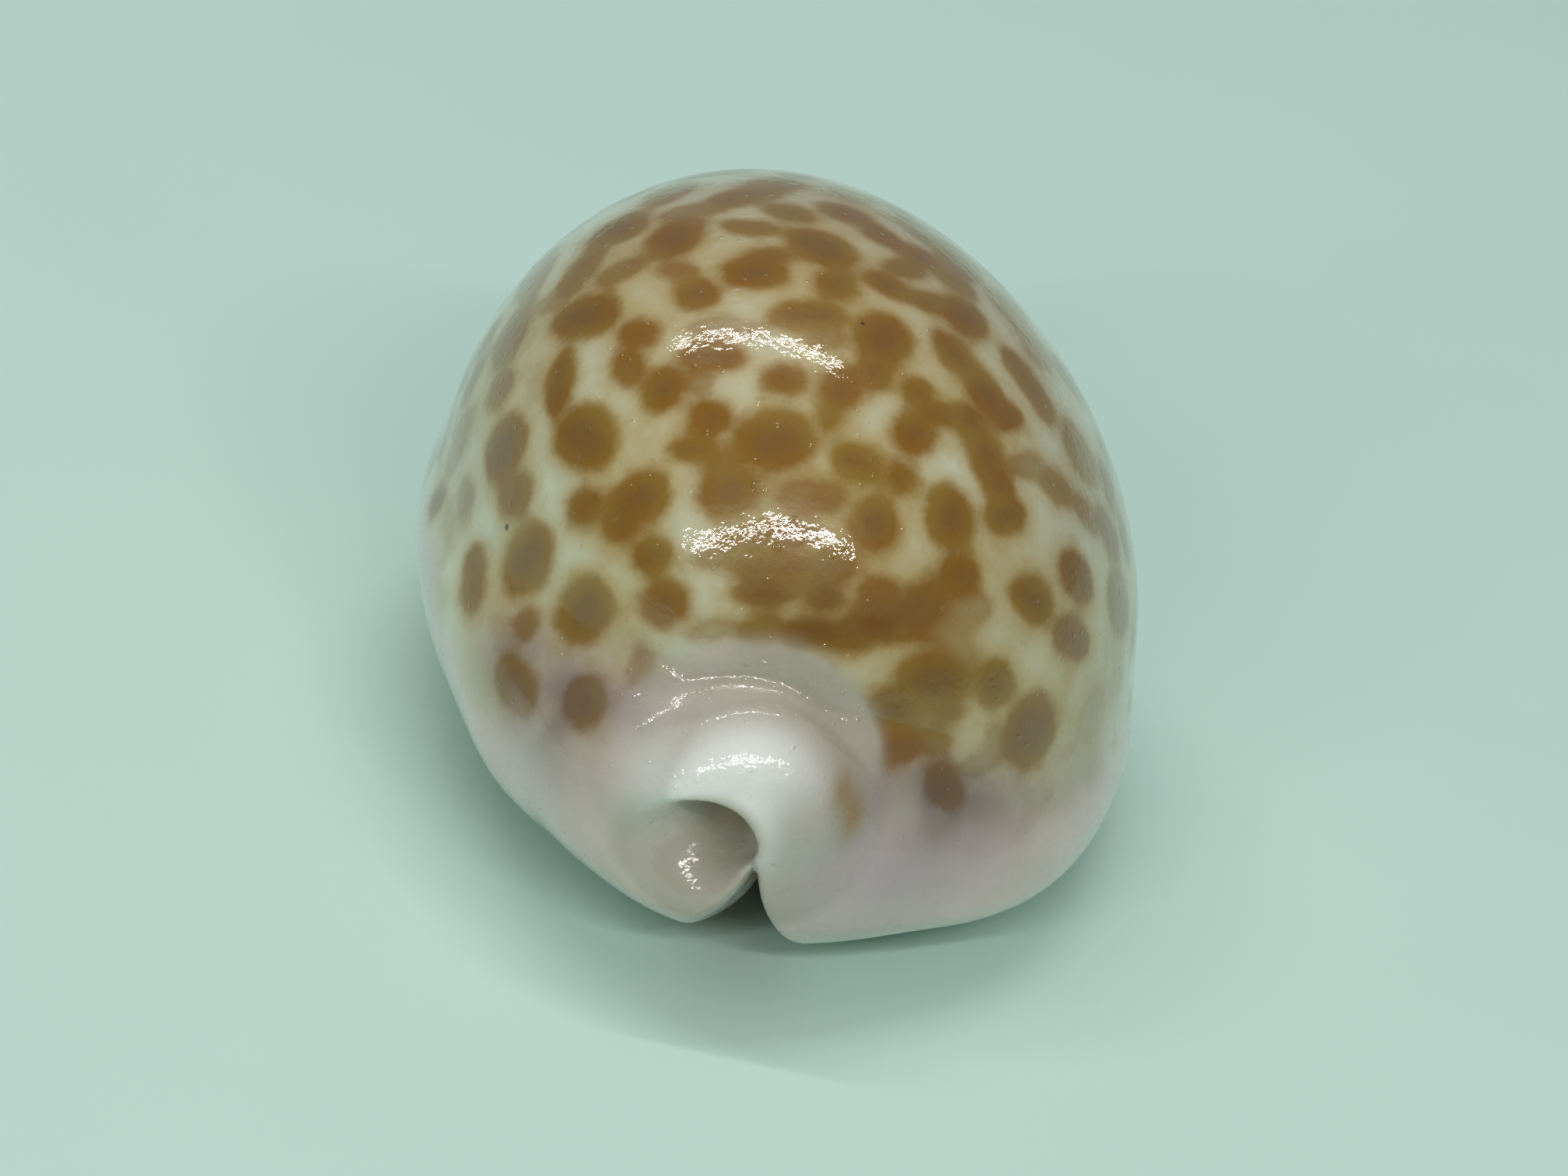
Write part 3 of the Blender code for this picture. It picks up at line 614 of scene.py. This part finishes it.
cells = g.add("ShaderNodeTexVoronoi", feature="F1")
g.link(mm, cells.inputs["Vector"])
cells.inputs["Scale"].default_value = 1.25
pits = g.ramp(cells.outputs["Distance"], 0.15, 0.04)
for point, radius in PITS:
    d = near(point)
    pits = g.math("MAXIMUM", pits, g.ramp(g.math("ABSOLUTE", g.math("SUBTRACT", d, radius)), 0.09, 0.0))
dints = g.add("ShaderNodeBump")
dints.inputs["Strength"].default_value = 0.6
dints.inputs["Distance"].default_value = 0.00005
g.link(pits, dints.inputs["Height"])
g.link(bumps.outputs["Normal"], dints.inputs["Normal"])
for point, radius in DARK_POINTS:
    colour = g.mix(g.ramp(near(point), radius, radius * 0.4, 0.0, 0.85), colour, rgb(0.02, 0.025, 0.02))

bsdf = g.add("ShaderNodeBsdfPrincipled")
g.link(colour, bsdf.inputs["Base Color"])
g.link(dints.outputs["Normal"], bsdf.inputs["Normal"])
g.link(dints.outputs["Normal"], bsdf.inputs["Coat Normal"])
g.link(g.ramp(g.noise(mm, 0.9, 2.0, 0.5), 0.3, 0.7, 0.26, 0.36), bsdf.inputs["Roughness"])
bsdf.inputs["IOR"].default_value = 1.5
bsdf.inputs["Specular IOR Level"].default_value = 0.25
bsdf.inputs["Coat Weight"].default_value = 1.0
bsdf.inputs["Coat Roughness"].default_value = 0.035
bsdf.inputs["Coat IOR"].default_value = 1.5
bsdf.inputs["Subsurface Weight"].default_value = 0.12
bsdf.inputs["Subsurface Radius"].default_value = (1.0, 0.75, 0.5)
bsdf.inputs["Subsurface Scale"].default_value = 0.0006
out = g.add("ShaderNodeOutputMaterial")
g.link(bsdf.outputs[0], out.inputs["Surface"])
shell.data.materials.append(g.mat)

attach(shell, "root")
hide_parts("shell")

# ------------------------------------------------------------------ floor
bpy.ops.mesh.primitive_plane_add(size=6.0, location=(0, 0, 0))
floor = bpy.context.object
floor.name = "floor"
fl = Nodes("floor_paint")
fmm = fl.add("ShaderNodeTexCoord").outputs["Object"]
fcol = fl.mix(fl.noise(fmm, 60.0, 3.0, 0.5), rgb(0.575, 0.81, 0.73), rgb(0.605, 0.84, 0.76))
fb = fl.add("ShaderNodeBsdfPrincipled")
fl.link(fcol, fb.inputs["Base Color"])
fb.inputs["Roughness"].default_value = 0.75
fl.link(fb.outputs[0], fl.add("ShaderNodeOutputMaterial").inputs["Surface"])
floor.data.materials.append(fl.mat)

# ------------------------------------------------------------------ light
world = bpy.data.worlds.new("studio")
bpy.context.scene.world = world
world.use_nodes = True
wt = world.node_tree
wt.nodes["Background"].inputs["Color"].default_value = (0.93, 0.97, 1.0, 1.0)
wt.nodes["Background"].inputs["Strength"].default_value = 0.20


def bar(name, a, b, width, watts, colour=(1.0, 0.99, 0.97)):
    """A long narrow soft light from a to b (mm), facing the shell."""
    a, b = Vector(a) * 0.001, Vector(b) * 0.001
    mid = (a + b) / 2
    to = (Vector((0, 0, 0.012)) - mid).normalized()
    along = (b - a).normalized()
    side = to.cross(along).normalized()
    along = side.cross(to).normalized()
    data = bpy.data.lights.new(name, "AREA")
    data.shape = "RECTANGLE"
    data.size, data.size_y = (b - a).length, width * 0.001
    data.energy, data.color = watts, colour
    ob = bpy.data.objects.new(name, data)
    ob.matrix_world = Matrix.Translation(mid) @ Matrix((along, to.cross(along) * -1, -to)).transposed().to_4x4()
    bpy.context.scene.collection.objects.link(ob)
    return ob


bar("lamp_over", (-297, 122, 412), (144, 86, 493), 12, 0.64)
bar("lamp_front_left", (-321, -364, 177), (-40, -398, 346), 14, 0.55)
bar("lamp_front_right", (-40, -398, 346), (196, -364, 320), 14, 0.55)
bar("soft_top", (-350, 0, 900), (350, 0, 900), 700, 1.1).visible_glossy = False   # soft fill with no mirror image in the glaze

# ------------------------------------------------------------------ camera
cam_data = bpy.data.cameras.new("camera")
cam_data.sensor_width = 36.0
cam_data.lens = 160.0
cam_data.clip_start = 0.01
camera = bpy.data.objects.new("camera", cam_data)
bpy.context.scene.collection.objects.link(camera)
eye, aim, roll = Vector((-32.4, -246.7, 148.4)) * 0.001, Vector((0.07, 0.1, 7.56)) * 0.001, math.radians(12.55)
look = (aim - eye).normalized()
level = look.cross(Vector((0, 0, 1))).normalized()
rise = level.cross(look)
right = level * math.cos(roll) + rise * math.sin(roll)
camera.matrix_world = Matrix.Translation(eye) @ Matrix((right, right.cross(look), -look)).transposed().to_4x4()
bpy.context.scene.camera = camera
bpy.context.scene.view_settings.view_transform = "Standard"
